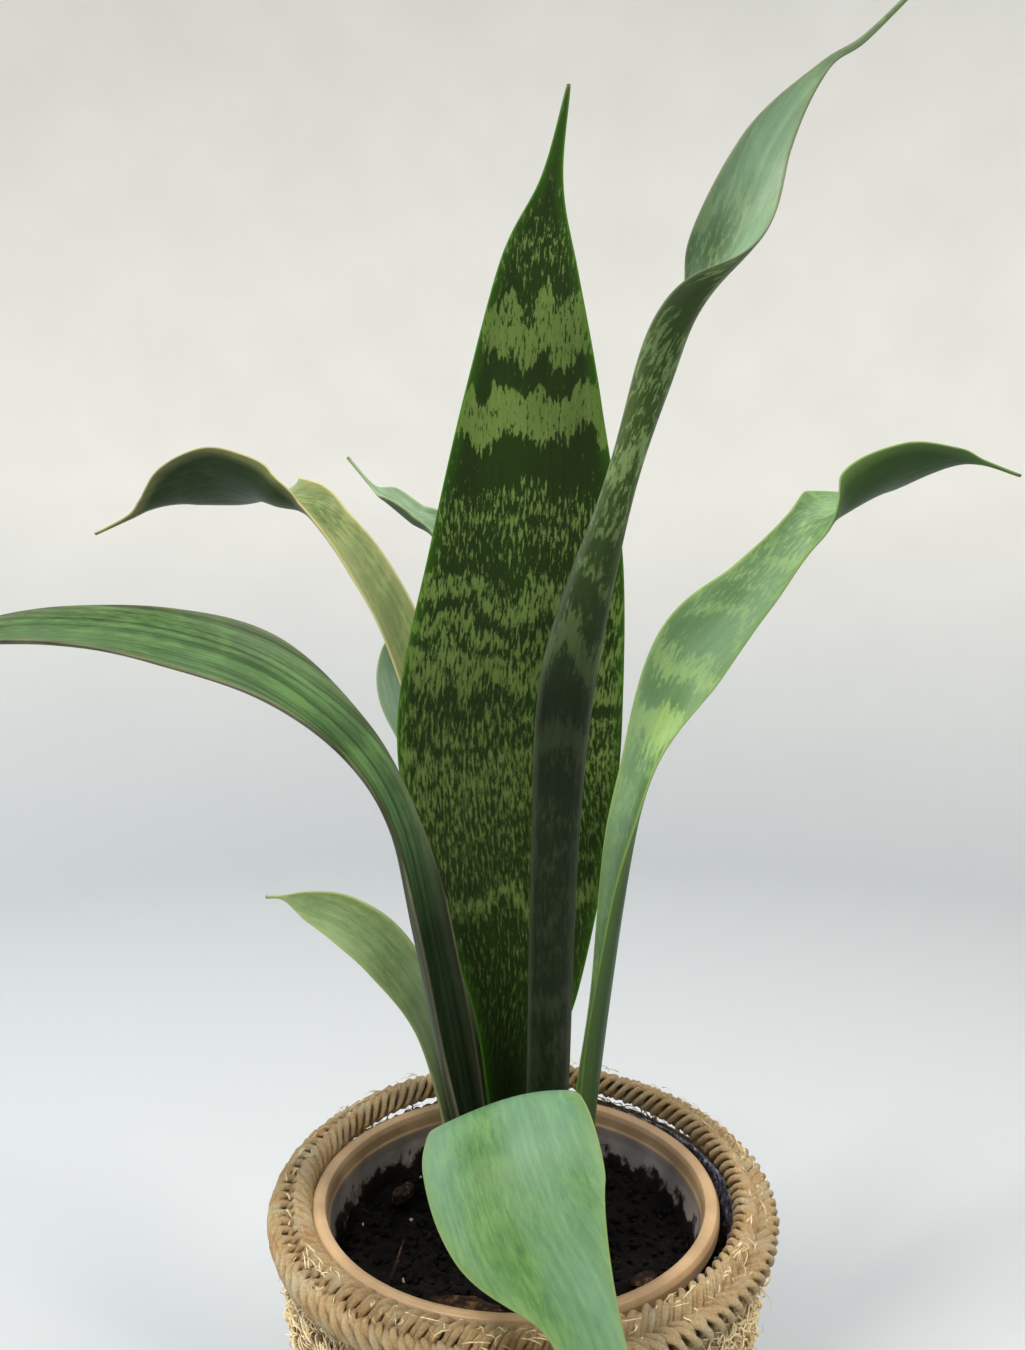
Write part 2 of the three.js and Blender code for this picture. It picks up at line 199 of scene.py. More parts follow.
# Jute yarn: retted bast fibre, spun dull and hairy, golden straw with paler and browner lengths.
# The twist of its plies shows as slanting ridges, the fibre as fine streaks along them.
jute_yarn, tree = new_material("spun_jute_yarn")
place = add(tree, "TexCoord", out="Object")
round_yarn = add(tree, "UVMap", uv_map="UVMap")
blotch = add(tree, "TexNoise", {"Vector": place, "Scale": 1 / (9 * MM), "Detail": 2})
grain = add(tree, "TexNoise", {"Vector": place, "Scale": 1 / (0.6 * MM), "Detail": 3, "Roughness": 0.7})
straw = add(tree, "ValToRGB", {"Fac": blotch},
            stops=((0.3, "#ecc27c"), (0.5, "#ffdea0"), (0.7, "#fff0c4")))
fibrous = add(tree, "ValToRGB", {"Fac": grain}, stops=((0.3, "#c8a46c"), (0.6, "#ffffff")))
colour = add(tree, "Mix", {0: 0.6, 6: straw, 7: fibrous}, out=2, data_type="RGBA",
             blend_type="MULTIPLY")
TWISTS = 150  # with the wave's own scale, a turn of the plies every 6 mm of yarn
slanted = add(tree, "Mapping", {"Vector": round_yarn, "Scale": (1, TWISTS, 1)})
ply = add(tree, "TexWave", {"Vector": slanted, "Scale": 0.32, "Distortion": 1.5, "Detail": 1}, out=1,
          bands_direction="DIAGONAL")
relief = add(tree, "Math", {0: ply, 1: grain}, operation="ADD")
bumped = add(tree, "Bump", {"Strength": 0.9, "Distance": 0.35 * MM, "Height": relief})
surface(tree, {"Base Color": colour, "Roughness": 0.85, "Normal": bumped, "Sheen Weight": 0.25,
               "Sheen Roughness": 0.5, "Specular IOR Level": 0.25})

theta = np.linspace(0, BASE_TURNS * 2 * math.pi, BASE_STEPS)
coil = BASE_OUTER + (BASE_INNER - BASE_OUTER) * theta / theta[-1]
arc = np.concatenate([[0], np.cumsum(np.diff(theta) * (coil[1:] + coil[:-1]) / 2)])
facing_up = math.pi / 2
phase = arc * 2 * math.pi / PLAIT_PITCH
paths = plait(theta, coil, BASE_HEIGHT, facing_up, phase, BASE_SWAY, BASE_SWELL, 1)
piece("basket_base_coil", strands("basket_base_coil", paths, YARN_THICKNESS), jute_yarn,
      "jute", "basket", "basket_base")


# Basket wall: eight more turns of the plait, each sewn to the turn below. Loose fibre stands out
# of the yarn all over, so that the plait hardly shows under its nap.
WALL_COURSES = 8
WALL_SWAY = 4.5
WALL_SWELL = 2.1
WALL_FIBRES = 2600
PLAIT_HALF_THICKNESS = 3.3
PLAIT_HALF_WIDTH = 5.9
FIBRE_THICKNESS = 0.6
FIBRE_POINTS = 4
RIM_RISE = 6  # how much taller the basket is at the back than at the front


def lift(theta, rise):
    """How far a turn of plait stands above its level. The basket is a little taller at the back."""
    return rise * (0.5 + 0.5 * np.sin(theta)) ** 2


def ring(node, lean, sway, swell, seed, rise=0):
    """The yarns of a closed turn of plait in the space of its CAD node, and its radius and height."""
    low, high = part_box(node)
    radius = high.x / MM - PLAIT_HALF_THICKNESS
    height = (low.z + high.z) / 2 / MM
    pitches = round(2 * math.pi * radius / PLAIT_PITCH)
    count = pitches * PLAIT_STEPS
    theta = np.arange(count) / count * 2 * math.pi
    level = height + lift(theta, rise)
    paths = plait(theta, np.full(count, radius), level, lean, theta * pitches, sway, swell, seed)
    return paths, radius, height


def nap(radius, height, count, spread, thin, loft, seed, rise=0):
    """Loose fibres round a turn of plait. spread is the lowest and highest angle of its section."""
    rng = np.random.default_rng(seed)
    theta = rng.uniform(0, 2 * math.pi, count)
    section = np.radians(rng.uniform(*spread, count))
    heading = rng.uniform(0, 2 * math.pi, count)
    length = rng.uniform(2, 7, count)
    curl = rng.normal(0, 2.0, count)
    height_above = rng.gamma(2, loft / 2, count)
    half_wide, half_tall = PLAIT_HALF_THICKNESS - 0.1, PLAIT_HALF_WIDTH
    paths = []
    for i in range(count):
        k = np.linspace(0, 1, FIBRE_POINTS)
        sweep = length[i] * (k - 0.5)
        bend = curl[i] * (k - 0.5) ** 2
        a = sweep * math.cos(heading[i]) - bend * math.sin(heading[i])
        b = sweep * math.sin(heading[i]) + bend * math.cos(heading[i])
        angle = section[i] + b / half_tall * 0.8
        stand = height_above[i] * np.sin(math.pi * k * rng.uniform(0.5, 1.0)) - 0.2
        r = radius + (half_wide + stand) * np.cos(angle)
        z = height + lift(theta[i], rise) + (half_tall + stand) * np.sin(angle)
        turn = theta[i] + a / radius
        share = np.interp(k, (0, 0.3, 1), (0.8, 1, 0.35)) * rng.uniform(0.45, 1.15) * thin
        paths.append(np.stack([r * np.cos(turn), r * np.sin(turn), np.maximum(z, 0.4), share], 1))
    return paths


# Loose jute fibre: single pale hairs pulled out of the yarn, made thicker than the real 0.1 mm
# so that they show.
jute_fibre, tree = new_material("loose_jute_fibre")
place = add(tree, "TexCoord", out="Object")
blotch = add(tree, "TexNoise", {"Vector": place, "Scale": 1 / (2.5 * MM), "Detail": 2})
colour = add(tree, "ValToRGB", {"Fac": blotch},
             stops=((0.3, "#c9ac7c"), (0.48, "#ecd5a6"), (0.7, "#fdf0d0")))
surface(tree, {"Base Color": colour, "Roughness": 0.7, "Sheen Weight": 0.2, "Specular IOR Level": 0.3})

for course in range(1, WALL_COURSES + 1):
    node = f"wall_course_{course}"
    rise = RIM_RISE * course / WALL_COURSES
    paths, radius, height = ring(node, 0, WALL_SWAY, WALL_SWELL, 10 + course, rise)
    turn_of_plait = strands(node + "_plait", paths, YARN_THICKNESS, closed=True)
    piece(node + "_plait", turn_of_plait, jute_yarn, "jute", "basket", node)
    hairs = nap(radius, height, WALL_FIBRES, (-75, 75), 1, 0.9, 40 + course, rise)
    loose = strands(node + "_nap", hairs, FIBRE_THICKNESS, rings=0)
    piece(node + "_nap", loose, jute_fibre, "jute", "basket")


# Basket rim: the last turn of the plait, laid over so that its herringbone faces up and out. It is
# less worn than the wall, with a thinner nap.
RIM_LEAN = 70  # degrees that its face leans up
RIM_SWAY = 4.7
RIM_SWELL = 2.9
RIM_FIBRES = 450
RIM_YARN_THICKNESS = 2.0
paths, radius, height = ring("rim_course", math.radians(RIM_LEAN), RIM_SWAY, RIM_SWELL, 30, RIM_RISE)
piece("rim_plait", strands("rim_plait", paths, RIM_YARN_THICKNESS, closed=True, rings=2), jute_yarn,
      "jute", "basket", "rim_course")
hairs = nap(radius, height, RIM_FIBRES, (-60, 170), 0.6, 0.6, 31, RIM_RISE)
piece("rim_nap", strands("rim_nap", hairs, FIBRE_THICKNESS, rings=0), jute_fibre, "jute", "basket")


# Film liner: a cup of thin polythene pushed into the basket by hand, so it is creased all over
# and crumpled along its cut top edge.
LINER_FLOOR = 9.2
LINER_TOP = 112.5
LINER_FLOOR_RADIUS = 50
LINER_FLOOR_SHARE = 0.3  # how much of the film's length from its middle lies on the floor
LINER_INSET = 8.4  # from the basket's outside to the film
LINER_MOUTH = 63  # radius at the cut edge before it crumples
FILM_THICKNESS = 0.15
BASKET_FOOT_RADIUS = 59
BASKET_FLARE = 13.2
BASKET_HEIGHT = 118
POT_RIM_RADIUS = 60


def bent_grid(name, across, along, bend, thickness=0.0, closed=False):
    """A grid of faces bent by bend(u, v, through) into shape, in millimetres. u and v are 0 to 1."""
    bm = bmesh.new()
    bmesh.ops.create_grid(bm, x_segments=across, y_segments=along, size=0.5)
    if thickness:
        bmesh.ops.solidify(bm, geom=bm.faces[:], thickness=thickness)
    mesh = bpy.data.meshes.new(name)
    bm.to_mesh(mesh)
    flat = np.empty(len(mesh.vertices) * 3)
    mesh.vertices.foreach_get("co", flat)
    flat = flat.reshape(-1, 3)
    u, v, through = flat[:, 0] + 0.5, flat[:, 1] + 0.5, flat[:, 2] + thickness / 2
    mesh.vertices.foreach_set("co", (bend(u, v, through) * MM).ravel())
    corners = np.empty(len(mesh.loops), int)
    mesh.loops.foreach_get("vertex_index", corners)
    layer = mesh.uv_layers.new(name="flat")
    layer.data.foreach_set("uv", np.stack([u[corners], v[corners]], 1).ravel())
    if closed:
        bm.clear()
        bm.from_mesh(mesh)
        bmesh.ops.remove_doubles(bm, verts=bm.verts, dist=1e-6)
        bmesh.ops.recalc_face_normals(bm, faces=bm.faces)
        bm.to_mesh(mesh)
    bm.free()
    mesh.shade_smooth()
    return mesh


def crease(x, y, z, size):
    """Folded creases of a size in millimetres, 0 to 1, sharp where they meet."""
    return np.array([abs(noise.noise(Vector(p) / size)) for p in zip(x, y, z)])


def liner_shape(u, v, through):
    """The film's inside, from the middle of its floor (v 0) to its cut edge (v 1)."""
    theta = u * 2 * math.pi
    flat = v < LINER_FLOOR_SHARE
    up = np.clip((v - LINER_FLOOR_SHARE) / (1 - LINER_FLOOR_SHARE), 0, 1)
    z = LINER_FLOOR + 0.4 + (LINER_TOP - LINER_FLOOR - 0.4) * up
    wall = BASKET_FOOT_RADIUS + BASKET_FLARE * (z / BASKET_HEIGHT) ** 1.1 - LINER_INSET
    corner = LINER_FLOOR_RADIUS + 12 * up ** 0.5 + 60 * up
    r = np.where(flat, v / LINER_FLOOR_SHARE * LINER_FLOOR_RADIUS, np.minimum(wall, corner))
    pot_edge = POT_RIM_RADIUS - 2.2 * np.cos(theta) - 0.9 * np.sin(theta)
    room = np.maximum(LINER_MOUTH - pot_edge, 0.5)
    x, y = r * np.cos(theta), r * np.sin(theta)
    folds = crease(x, y, z * 0.7, 7) + 0.5 * crease(x, y, z, 3)
    inward = np.where(flat, 0, folds * np.minimum(room, 4) * 0.9) * np.clip(up * 6, 0, 1)
    z = np.where(flat, z + 0.5 * folds * (v > 0.01), z + 1.5 * up * (folds - 0.3))
    return np.stack([(r - inward) * np.cos(theta), (r - inward) * np.sin(theta), z], 1)


# Polythene film: clear and glossy. Its colour is painted: a dull grey-violet for the dark seen through
# it, with painted blue-grey glints in patches, and sharp glints along its creases from its gloss.
film, tree = new_material("crumpled_polythene_film")
place = add(tree, "TexCoord", out="Object")
creases = add(tree, "TexVoronoi", {"Vector": place, "Scale": 1 / (3 * MM)}, feature="DISTANCE_TO_EDGE")
wrinkle = add(tree, "TexNoise", {"Vector": place, "Scale": 1 / (2 * MM), "Detail": 2})
relief = add(tree, "Math", {0: creases, 1: wrinkle}, operation="ADD")
bumped = add(tree, "Bump", {"Strength": 0.8, "Distance": 0.6 * MM, "Height": relief})
# Painted shade and glints: dark grey-violet for the dark behind the clear film, pale blue-grey where it
# glints.
painted_shade_and_glints = add(tree, "ValToRGB", {"Fac": wrinkle},
           stops=((0.35, "#2b2a30"), (0.55, "#4a4a58"), (0.7, "#8f95ad")))
surface(tree, {"Base Color": painted_shade_and_glints, "Roughness": 0.18, "Normal": bumped, "Specular IOR Level": 0.8})

cup = bent_grid("film_liner_cup", 220, 90, liner_shape, closed=True)
liner = piece("film_liner_cup", cup, film, "liner_film", "basket", "film_liner")
film_body = liner.modifiers.new("film", "SOLIDIFY")
film_body.thickness = FILM_THICKNESS * MM


# Nursery pot: polypropylene, moulded in one piece with a broad rolled rim and a raised floor.
# It is used, so soil has dried on the inside of its wall.
POT_LOW, POT_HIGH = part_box("nursery_pot")
POT_X = (POT_LOW.x + POT_HIGH.x) / 2 / MM
POT_Y = (POT_LOW.y + POT_HIGH.y) / 2 / MM
POT_BOTTOM = POT_LOW.z / MM
POT_PROFILE = (
    (0, 1.5), (36.5, 1.5), (37.5, 0), (42.5, 0), (56.4, 98), (59, 98.8), (60, 100.4), (60, 103.2),
    (59.2, 104.7), (57.6, 105), (55.9, 104.4), (55.3, 102.8), (55.0, 100.2), (54.6, 99.4), (54.6, 96.5),
    (41.6, 3.1), (0, 3.1),
)
POT_ROUNDING = 0.25
POT_STEPS = 144
DUST_AND_SHADE_EDGE = (100, 98)  # heights above the pot's foot between which the greyer inside, partly dust and partly painted shade, sets in
SOIL_STAIN = (98, 86)  # and between which the smears of dried soil do


def turned(name, profile, rounding, steps):
    """Spins a profile of [radius, height] in millimetres about the pot's axis into a closed mesh."""
    bm = bmesh.new()
    points = [bm.verts.new((r * MM, 0, z * MM)) for r, z in profile]
    for pair in zip(points, points[1:]):
        bm.edges.new(pair)
    bmesh.ops.bevel(bm, geom=points[1:-1], offset=rounding * MM, segments=3, profile=0.5,
                    affect="VERTICES", material=-1)
    bmesh.ops.spin(bm, geom=bm.verts[:] + bm.edges[:], axis=(0, 0, 1), cent=(0, 0, 0),
                   angle=2 * math.pi, steps=steps, use_merge=True)
    bmesh.ops.remove_doubles(bm, verts=bm.verts, dist=1e-6)
    bmesh.ops.recalc_face_normals(bm, faces=bm.faces)
    mesh = bpy.data.meshes.new(name)
    bm.to_mesh(mesh)
    bm.free()
    mesh.shade_smooth()
    return mesh


# Pot plastic: injection-moulded polypropylene in a sandy brown, satin, slightly see-through.
# Inside, below the rim, it turns greyer, partly dust and partly painted shade, and dried soil smears it
# darker towards the soil line.
pot_plastic, tree = new_material("moulded_polypropylene")
place = add(tree, "TexCoord", out="Object")
split = add(tree, "SeparateXYZ", {"Vector": place}, out="Z")
cloud = add(tree, "TexNoise", {"Vector": place, "Scale": 1 / (14 * MM), "Detail": 3})
clean = add(tree, "ValToRGB", {"Fac": cloud}, stops=((0.35, "#a68a68"), (0.65, "#bc9f7b")))
# Painted shade with dust: a greyer violet for the shaded inside of the pot below its rim.
dust_and_shade = add(tree, "ValToRGB", {"Fac": cloud}, stops=((0.35, "#857d7b"), (0.65, "#a59c99")))
below = add(tree, "MapRange", {"Value": split, "From Min": (POT_BOTTOM + DUST_AND_SHADE_EDGE[0]) * MM,
                               "From Max": (POT_BOTTOM + DUST_AND_SHADE_EDGE[1]) * MM})
inside = add(tree, "Attribute", attribute_name="inside", out="Fac")
below = add(tree, "Math", {0: below, 1: inside}, operation="MULTIPLY")
colour = add(tree, "Mix", {0: below, 6: clean, 7: dust_and_shade}, out=2, data_type="RGBA")
smear = add(tree, "TexNoise", {"Vector": place, "Scale": 1 / (5 * MM), "Detail": 5, "Roughness": 0.65})
near_soil = add(tree, "MapRange", {"Value": split, "From Min": (POT_BOTTOM + SOIL_STAIN[0]) * MM,
                                   "From Max": (POT_BOTTOM + SOIL_STAIN[1]) * MM,
                                   "To Min": -0.28, "To Max": 0.25})
soiled = add(tree, "Math", {0: smear, 1: near_soil}, operation="ADD")
mask = add(tree, "MapRange", {"Value": soiled, "From Min": 0.46, "From Max": 0.56})
mask = add(tree, "Math", {0: mask, 1: inside}, operation="MULTIPLY")
colour = add(tree, "Mix", {0: mask, 6: colour, 7: srgb("#1c1512")}, out=2, data_type="RGBA")
scuff = add(tree, "TexNoise", {"Vector": place, "Scale": 1 / (0.8 * MM), "Detail": 2})
rough = add(tree, "MapRange", {"Value": scuff, "To Min": 0.32, "To Max": 0.5})
bumped = add(tree, "Bump", {"Strength": 0.15, "Distance": 0.1 * MM, "Height": scuff})
surface(tree, {"Base Color": colour, "Roughness": rough, "Normal": bumped, "Subsurface Weight": 0.15,
               "Subsurface Radius": (0.004, 0.002, 0.001), "Subsurface Scale": 1.0})

pot_mesh = turned("pot_shell", POT_PROFILE, POT_ROUNDING, POT_STEPS)
places = np.array([vertex.co for vertex in pot_mesh.vertices]) / MM
mid_wall = np.interp(places[:, 2], (0, 98, 105), (42.5, 56.4, 57.5)) - 0.8
above_floor = places[:, 2] > 2.5
within = (np.hypot(places[:, 0], places[:, 1]) < mid_wall) & above_floor
marked = pot_mesh.attributes.new("inside", "FLOAT", "POINT")
marked.data.foreach_set("value", within.astype(np.float32))
pot_mesh.transform(Matrix.Translation((POT_X * MM, POT_Y * MM, POT_BOTTOM * MM)))
piece("pot_shell", pot_mesh, pot_plastic, "pot_plastic", "plant", "nursery_pot")


# Potting soil: peat and fine bark, nearly black, crumbly, heaped to the back, filling the pot
# to about 2 cm below its rim.
SOIL_RADIUS = 54.3
SOIL_LEVEL = 94
SOIL_HEAP = 3.5
SOIL_CRUMBLE = 0.9
SOIL_LUMPS = ((2.6, 9, 3), (1.3, 3.2, 7), (0.6, 1.5, 11))  # height, size and seed of each kind


def soil_height(x, y):
    """The soil's level at a point, as the CAD has it, without the fine crumbs."""
    out = np.hypot(x - POT_X, y - POT_Y) / POT_RIM_RADIUS
    crumble = np.sin(x * 0.31 + 1.3) * np.cos(y * 0.27) + 0.6 * np.sin(x * 0.13 - y * 0.19)
    return SOIL_LEVEL + SOIL_HEAP * out * out * (0.5 + y / POT_RIM_RADIUS) + SOIL_CRUMBLE * crumble


def lumps(x, y, size, seed):
    """Rough lumps of a size in millimetres, about -1 to 1."""
    return np.array([noise.noise(Vector((a / size, b / size, seed))) for a, b in zip(x, y)])


def soil_shape(u, v, through):
    """The root ball: its top out from the middle, down its side, then in again underneath."""
    theta = u * 2 * math.pi
    top = np.clip(v / 0.8, 0, 1)
    side = np.clip((v - 0.8) / 0.1, 0, 1)
    under = np.clip((v - 0.9) / 0.1, 0, 1)
    r = SOIL_RADIUS * top * (1 - side * 0.22) * (1 - under)
    x, y = POT_X + r * np.cos(theta), POT_Y + r * np.sin(theta)
    rough = sum(height * lumps(x, y, size, seed) for height, size, seed in SOIL_LUMPS)
    z_top = soil_height(x, y) + rough * (v > 0)
    floor = POT_BOTTOM + 3.5
    return np.stack([x, y, z_top + (floor - z_top) * side], 1)


# Potting mix: damp peat with bark fines. It is almost black, quite matt, with browner crumbs.
potting_mix, tree = new_material("damp_peat_mix")
place = add(tree, "TexCoord", out="Object")
crumb = add(tree, "TexNoise", {"Vector": place, "Scale": 1 / (2.2 * MM), "Detail": 5, "Roughness": 0.7})
colour = add(tree, "ValToRGB", {"Fac": crumb},
             stops=((0.4, "#030303"), (0.58, "#0a0807"), (0.7, "#1a1410"), (0.85, "#3a2c20")))
bumped = add(tree, "Bump", {"Strength": 1.0, "Distance": 0.8 * MM, "Height": crumb})
surface(tree, {"Base Color": colour, "Roughness": 0.95, "Normal": bumped, "Specular IOR Level": 0.15})

soil_ball = bent_grid("soil_ball", 200, 120, soil_shape, closed=True)
piece("soil_ball", soil_ball, potting_mix, "potting_mix", "plant", "potting_soil")

# Soil crumbs: loose lumps of peat and bark on top, with a few pale grains of perlite.
CRUMBS = 900
PERLITE_GRAINS = 26


def scattered(name, count, size, seed, flat=0.7):
    """Small uneven lumps lying on the soil."""
    rng = np.random.default_rng(seed)
    bm = bmesh.new()
    for _ in range(count):
        r = (SOIL_RADIUS - 1.5) * math.sqrt(rng.uniform(0, 1))
        angle = rng.uniform(0, 2 * math.pi)
        x, y = POT_X + r * math.cos(angle), POT_Y + r * math.sin(angle)
        height, spacing, layer = SOIL_LUMPS[0]
        z = soil_height(x, y) + height * noise.noise(Vector((x / spacing, y / spacing, layer))) + 0.3
        radius = rng.uniform(*size) * MM
        made = bmesh.ops.create_icosphere(bm, subdivisions=1, radius=radius)["verts"]
        stretch = Vector((rng.uniform(0.7, 1.6), rng.uniform(0.6, 1.1), flat))
        bmesh.ops.scale(bm, vec=stretch, verts=made)
        for vert in made:
            vert.co *= rng.uniform(0.75, 1.2)
        turn = Euler(rng.uniform(-1, 1, 3) * (0.6, 0.6, 3)).to_matrix()
        bmesh.ops.rotate(bm, cent=(0, 0, 0), matrix=turn, verts=made)
        bmesh.ops.translate(bm, vec=Vector((x, y, z)) * MM, verts=made)
    mesh = bpy.data.meshes.new(name)
    bm.to_mesh(mesh)
    bm.free()
    return mesh


crumbs = scattered("soil_crumbs", CRUMBS, (0.6, 1.9), 5)
piece("soil_crumbs", crumbs, potting_mix, "potting_mix", "plant")

# Perlite: puffed glass grains, chalky and off-white, dulled by the soil.
perlite, tree = new_material("perlite_grain")
place = add(tree, "TexCoord", out="Object")
pores = add(tree, "TexNoise", {"Vector": place, "Scale": 1 / (0.5 * MM), "Detail": 2})
colour = add(tree, "ValToRGB", {"Fac": pores}, stops=((0.35, "#77706a"), (0.65, "#cdc8bf")))
surface(tree, {"Base Color": colour, "Roughness": 0.9})
grains = scattered("perlite_grains", PERLITE_GRAINS, (0.3, 0.7), 8, 0.9)
piece("perlite_grains", grains, perlite, "potting_mix", "plant")


# Rhizome and roots: the thick fleshy stem under the soil, with a knuckle under each leaf.
# They are pale orange, smooth between ring-shaped scars.
root_flesh, tree = new_material("fleshy_rhizome")
place = add(tree, "TexCoord", out="Object")
patch = add(tree, "TexNoise", {"Vector": place, "Scale": 1 / (6 * MM), "Detail": 4})
colour = add(tree, "ValToRGB", {"Fac": patch}, stops=((0.35, "#b9803f"), (0.6, "#dcae6a")))
bumped = add(tree, "Bump", {"Strength": 0.5, "Distance": 0.4 * MM, "Height": patch})
surface(tree, {"Base Color": colour, "Roughness": 0.6, "Normal": bumped, "Subsurface Weight": 0.1,
               "Subsurface Radius": (0.003, 0.0015, 0.0008), "Subsurface Scale": 1.0})
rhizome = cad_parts["rhizome_and_roots"]
rhizome.data.materials.clear()
rhizome.data.materials.append(root_flesh)


# Leaves: stiff, fleshy blades that rise from the rhizome, channelled at the foot, broad and
# nearly flat above, and drawn out to a spike. Several have arched over or twisted.
# Stations run from foot to tip: the midrib's x, y and z and half the blade's width in millimetres,
# the turn and the tilt of the line from the left margin to the right one, and the curl, in degrees.
LEAF_COLUMNS = 30
LEAF_ROWS = 220
LEAF_THICKNESS = 2.2
LEAF_RIPPLE = 0.6  # how far the margins wave
LEAVES = {
    "leaf_centre": (
        (0, 4, 92, 7, 0, 0, 140), (-3, 7, 135, 9, 0, 0, 140), (0, 11, 173, 19, 0, 0, 90),
        (-2, 13, 211, 28.5, 0, 0, 40), (-4, 15, 248, 34.5, 0, 0, 22), (1, 16, 301, 30, 0, 0, 18),
        (3, 17, 348, 21.5, 0, 0, 20), (5, 18, 391, 12, 0, 0, 25), (9, 18, 417, 3.5, 0, 0, 30),
        (14, 18, 445, 0.6, 0, 0, 20),
    ),
    "leaf_tall_right": (
        (6, -15, 92, 7, 180, 0, 160), (7, -18, 150, 8, 180, 0, 160), (9, -22, 225, 9, 180, 0, 160),
        (13, -26, 270, 10, 183, 0, 150), (26, -28, 319, 5.5, 190, 0, 140), (39, -30, 354, 8.7, 230, 5, 130),
        (51.5, -32, 375, 12, 315, 12, 110), (61.2, -34, 403, 6.7, 350, 5, 60),
        (74.5, -36, 421, 1.6, 350, 0, 50), (84, -38, 427, 0.9, 350, 0, 40), (96, -40, 438, 0.6, 350, 0, 30),
    ),
    "leaf_right": (
        (17.5, -1, 92, 8, -94, 0, 130), (21, -2.5, 141, 9.5, -92, 0, 125),
        (28.5, -3, 201, 9.5, -86, 0, 125), (35, 6, 239, 6.2, -25, -15, 110),
        (50.7, 17, 272.3, 13, 12, -32, 50), (72.5, 26, 294, 9.3, 0, -42, 50),
        (89.5, 31, 311, 8, -30, -38, 110), (103.5, 35, 318.3, 16, -78, 6, 190),
        (124, 39, 330, 14.5, -88, 28, 80), (142, 42, 336, 6.5, -90, 24, 60),
        (153, 44, 336, 1.6, -90, 22, 50), (167, 46, 332, 0.6, -90, 20, 30),
    ),
    "leaf_left_arch": (
        (-9, -10, 92, 7, 60, 0, 150), (-18, -12, 140, 8.5, 60, 0, 150), (-28, -16, 195, 10, 60, 5, 130),
        (-35, -20, 228, 7, 65, 15, 100), (-47, -25, 250, 9.8, 73, 25, 80),
        (-68, -32, 268, 14.5, 85, 28, 70), (-92, -39, 277, 13.5, 88, 28, 60),
        (-114, -46, 280, 10.5, 90, 28, 60), (-133, -52, 279, 5.5, 90, 28, 60),
        (-147, -57, 276, 0.6, 90, 28, 30),
    ),
    "leaf_back_left": (
        (-6, 18, 92, 7, 10, 0, 140), (-12, 26, 159, 9, 10, 0, 130), (-22, 35, 229, 9.5, 10, 10, 90),
        (-38.5, 42, 277, 7.3, 15, 25, 60), (-53, 48, 302.5, 7.6, 30, 28, 70),
        (-66, 51, 317.5, 8.2, 42, 24, 110), (-73, 54, 322, 11.5, 56, 20, 150),
        (-84.5, 57, 324, 16, 80, 0, 180), (-96, 61, 329, 16, 88, -24, 100),
        (-108, 65, 332, 15.3, 90, -34, 50), (-122, 68, 330, 11.5, 90, -30, 40),
        (-134, 71, 325, 4.6, 90, -20, 50), (-141, 72, 321, 1.6, 90, -20, 40),
        (-154, 73, 315, 0.6, 90, -20, 30),
    ),
    "leaf_back_twist": (
        (10, 24, 92, 7, 0, 0, 140), (4, 35, 155, 11, 0, 0, 100), (-11, 45, 214, 16, 0, 0, 50),
        (-24, 52, 246, 18.5, 0, 5, 40), (-31.5, 58, 268, 18.5, 5, 15, 45), (-22, 62, 294, 6.5, 20, 30, 110),
        (-27, 64, 313, 7.5, 40, 40, 150), (-38, 66, 319.5, 7.5, 80, 30, 150),
        (-47, 68, 327, 6, 95, 40, 110), (-53, 69, 331.5, 1.2, 95, 45, 60), (-62, 70, 342, 0.6, 90, 45, 30),
    ),
    "leaf_low_left": (
        (-15, 8, 92, 6, 20, 0, 140), (-20, 10, 127, 5.5, 20, 10, 120), (-27.5, 14, 157, 6.2, 10, 30, 70),
        (-41.5, 18, 178, 8.5, 10, 40, 50), (-55, 22, 188, 8, 10, 55, 50), (-68, 26, 192, 5, 10, 65, 50),
        (-77, 28, 194, 1, 10, 70, 50), (-83, 29, 194, 0.6, 10, 70, 30),
    ),
    "leaf_front": (
        (2, -24, 92, 8, 180, 0, 120), (0, -34, 128, 13, 180, -5, 60),
        (-6.2, -44, 158.6, 18.3, 180, -18, -20), (-5.2, -62, 162, 21, 182, -17, -24),
        (0.9, -78, 151, 18.8, 186, -12, -10), (11.3, -90, 137, 8.5, 190, -8, 12),
        (17.5, -100, 120, 6, 192, -4, 50), (20, -106, 102, 2, 192, 0, 60), (22, -109, 88, 0.6, 192, 0, 40),
    ),
}


def station(rows, t):
    """A leaf's stations smoothly joined, at shares t of its length. 0 is its foot and 1 its tip."""
    rows = np.array(rows, float)
    padded = np.vstack([2 * rows[0] - rows[1], rows, 2 * rows[-1] - rows[-2]])
    at = np.clip(t, 0, 1) * (len(rows) - 1)
    index = np.minimum(at.astype(int), len(rows) - 2)
    u = (at - index)[:, None]
    a, b, c, d = (padded[index + k] for k in range(4))
    bent = (2 * a - 5 * b + 4 * c - d) * u ** 2 + (3 * b - a - 3 * c + d) * u ** 3
    return 0.5 * (2 * b + (c - a) * u + bent)


def unit(vectors):
    """Vectors at length 1."""
    return vectors / np.linalg.norm(vectors, axis=1)[:, None]


